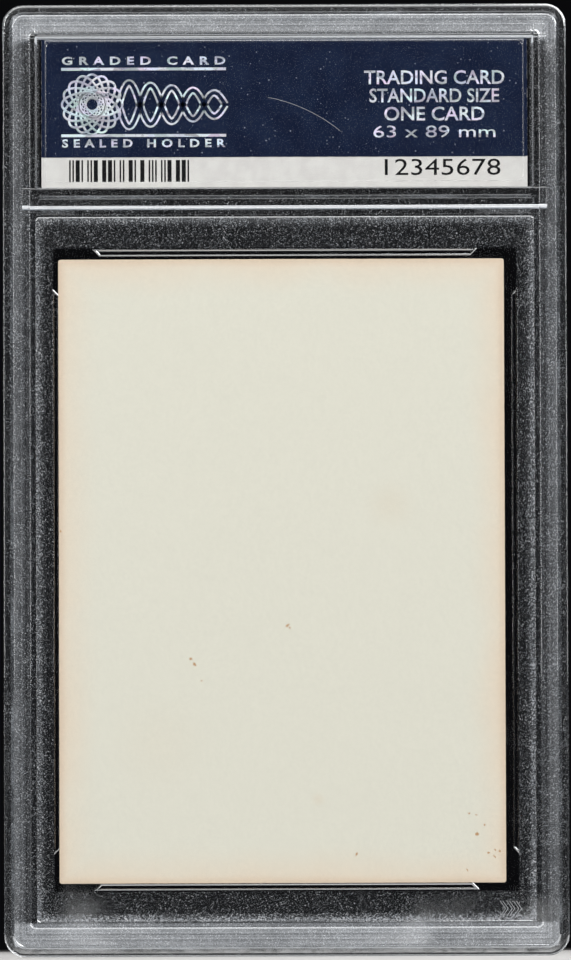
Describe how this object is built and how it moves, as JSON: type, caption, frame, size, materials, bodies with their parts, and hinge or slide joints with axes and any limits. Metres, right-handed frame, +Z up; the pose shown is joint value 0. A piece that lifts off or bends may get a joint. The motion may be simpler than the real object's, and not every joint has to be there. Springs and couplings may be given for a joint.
{
  "type": "graded card slab",
  "caption": "Sealed flat clear plastic holder with a trading card held between thin rails, a printed label above it, and a raised ridge round the rear face for stacking.",
  "frame": {"origin": "centre of the bottom edge, at the lowest point, midway through the depth", "axes": "+Z up along the height, +Y out of the front face that shows the card's face, -Y out of the rear face with the ridge, +X to the right as the rear face is read"},
  "size_m": [0.0804, 0.0056, 0.1356],
  "materials": {
    "clear_polystyrene": "gloss",
    "weld_bead": "satin",
    "card_board": "matte",
    "label_film": "gloss",
    "label_paper": "matte"
  },
  "bodies": {
    "holder": {"rear_shell": "clear_polystyrene", "front_shell": "clear_polystyrene", "perimeter_weld": "weld_bead", "divider_weld": "weld_bead", "weld_tab_left": "weld_bead", "weld_tab_right": "weld_bead"},
    "card": {"card": "card_board"},
    "label": {"label_film": "label_film", "label_paper": "label_paper"}
  },
  "joints": [
    {"name": "card_shift", "type": "slide", "parent": "holder", "child": "card", "axis": [1, 0, 0], "range_m": [0, 0.0011]},
    {"name": "label_shift", "type": "slide", "parent": "holder", "child": "label", "axis": [1, 0, 0], "range_m": [-0.00045, 0.00045]}
  ]
}
